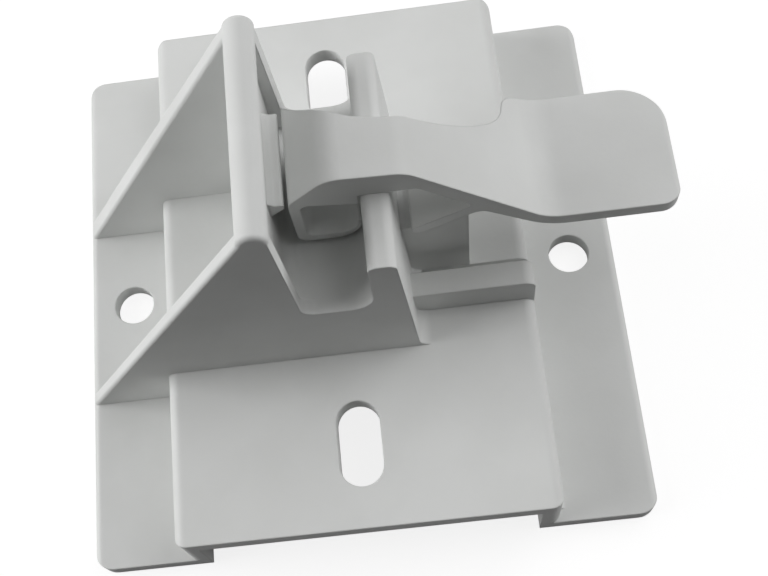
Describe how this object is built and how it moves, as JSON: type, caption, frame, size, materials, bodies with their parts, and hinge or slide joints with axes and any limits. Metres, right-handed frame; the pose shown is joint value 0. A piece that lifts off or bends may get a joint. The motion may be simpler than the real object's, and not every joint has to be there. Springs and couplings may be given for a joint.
{
  "type": "awning bracket",
  "caption": "Cast wall bracket: slotted hat-section plate, gussets, rod-topped hook wall with trough and rib, and a hollow thumb lever saddled over the rib.",
  "frame": {"origin": "centre of the mounting plate, on its back face", "axes": "+Z out of the wall, +Y along the trough and the slots, +X towards the lever's paddle"},
  "size_m": [0.1286, 0.12, 0.0823],
  "materials": {
    "body_coat": "white semi-gloss powder coat",
    "lever_coat": "white semi-gloss powder coat"
  },
  "bodies": {
    "bracket": {"bracket_body": "body_coat"},
    "lever": {"lever": "lever_coat"}
  },
  "joints": [
    {"name": "lever_turn", "type": "hinge", "parent": "bracket", "child": "lever", "pos_m": [0.0006, 0, 0.0525], "axis": [0, -1, 0], "range_deg": [0, 4]}
  ]
}
